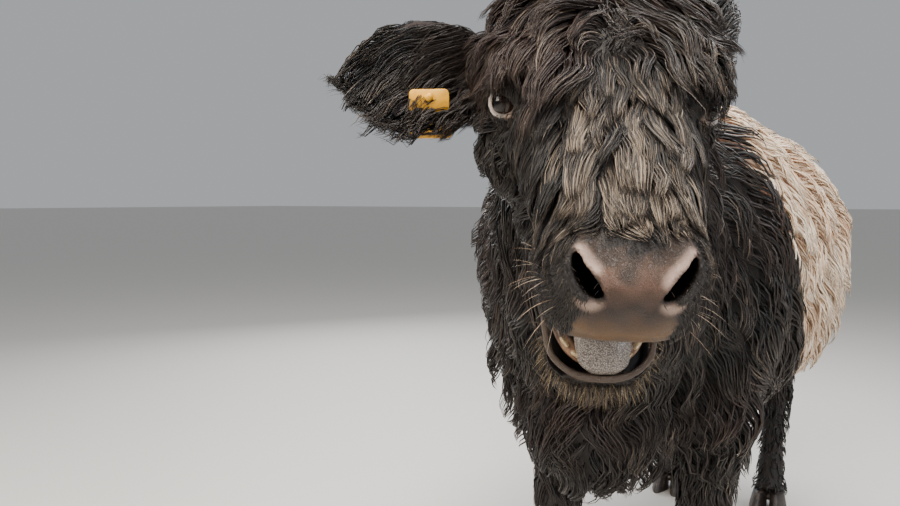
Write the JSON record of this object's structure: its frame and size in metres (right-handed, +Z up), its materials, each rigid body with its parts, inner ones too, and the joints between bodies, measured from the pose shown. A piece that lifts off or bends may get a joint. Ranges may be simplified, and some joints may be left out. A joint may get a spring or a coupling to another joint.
{
  "type": "belted galloway cow",
  "caption": "Life-size standing belted galloway cow, a polled shaggy black cow with a white belt, head turned to its left and mouth a little open, with a yellow ear tag",
  "frame": {"origin": "On the floor, under the middle of the whole animal's bounding box", "axes": "+Z up, -Y the way the animal faces, +X the animal's left; millimetre solids, metres in the record"},
  "size_m": [0.7864, 2.2086, 1.293],
  "materials": {
    "black_coat": "long wavy black hair, sun-browned at the tips, soft low sheen",
    "white_coat": "creamy white wavy hair with tan stains, matte",
    "nose_skin": "moist, finely pebbled grey-brown skin with soft highlights",
    "mouth_flesh": "wet grey flesh with fine bumps",
    "tooth": "worn ivory-coloured enamel, stained tan at the gum",
    "eye": "wet dark brown eye with a sharp highlight",
    "hoof_horn": "dull dark horn with growth rings",
    "udder_skin": "soft thin-haired grey-pink skin",
    "tag_plastic": "moulded yellow plastic, slightly soiled"
  },
  "bodies": {
    "root": {"head": "black_coat", "muzzle": "nose_skin", "lower_jaw": "black_coat", "tongue": "mouth_flesh", "eye_left": "eye", "eye_right": "eye", "ear_left": "black_coat", "ear_right": "black_coat", "ear_tag_front": "tag_plastic", "ear_tag_back": "tag_plastic", "neck": "black_coat", "torso_shoulders": "black_coat", "torso_belt": "white_coat", "torso_rump": "black_coat", "foreleg_upper_left": "black_coat", "foreleg_upper_right": "black_coat", "foreleg_lower_left": "black_coat", "foreleg_lower_right": "black_coat", "hindleg_upper_left": "black_coat", "hindleg_upper_right": "black_coat", "hindleg_lower_left": "black_coat", "hindleg_lower_right": "black_coat", "hoof_front_left": "hoof_horn", "hoof_front_right": "hoof_horn", "hoof_rear_left": "hoof_horn", "hoof_rear_right": "hoof_horn", "udder": "udder_skin", "tail": "black_coat", "tail_switch": "black_coat"}
  },
  "joints": []
}
